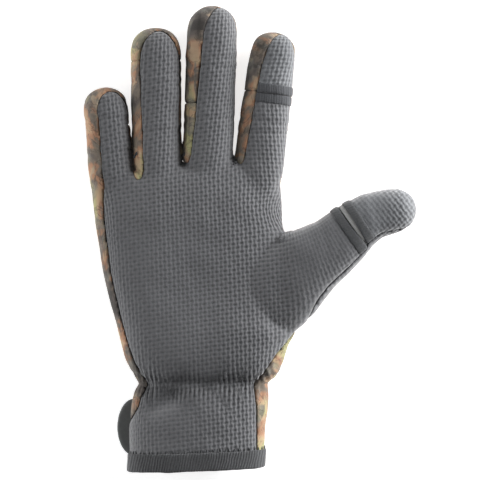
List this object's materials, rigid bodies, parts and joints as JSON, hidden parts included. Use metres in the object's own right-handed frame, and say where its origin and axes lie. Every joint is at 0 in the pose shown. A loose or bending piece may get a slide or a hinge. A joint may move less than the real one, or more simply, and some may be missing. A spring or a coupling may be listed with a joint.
{
  "type": "fishing glove",
  "caption": "Thin foam-cloth glove for the right hand with a grip palm, a printed back, slit fold-back index and thumb tips, a gathered wrist and a strap.",
  "frame": {"origin": "on the flat resting face of the back panel, under the middle of the palm", "axes": "+Y along the hand to the fingertips, +Z out of the palm, +X to the thumb"},
  "size_m": [0.1777, 0.2497, 0.037],
  "materials": {
    "grip_cloth": "grey textured grip fabric",
    "camo_cloth": "matt printed camouflage fabric",
    "hem_cloth": "matt dark rolled hem",
    "facing_cloth": "matt light grey jersey",
    "binding_tape": "matt black tape",
    "strap_cloth": "smooth dark foam-backed cloth",
    "hook_pad": "black hook pad"
  },
  "bodies": {
    "root": {"palm_panel": "grip_cloth", "index_cap": "grip_cloth", "thumb_cap": "grip_cloth", "back_panel": "camo_cloth", "sidewall_little_ring": "camo_cloth", "sidewall_ring_middle": "camo_cloth", "sidewall_middle_index": "camo_cloth", "index_cap_hem": "hem_cloth", "index_slit_hem": "hem_cloth", "thumb_cap_hem": "hem_cloth", "thumb_slit_hem": "hem_cloth", "thumb_slit_facing": "facing_cloth", "hem_binding": "binding_tape", "wrist_strap": "strap_cloth", "hook_patch": "hook_pad"}
  },
  "joints": []
}
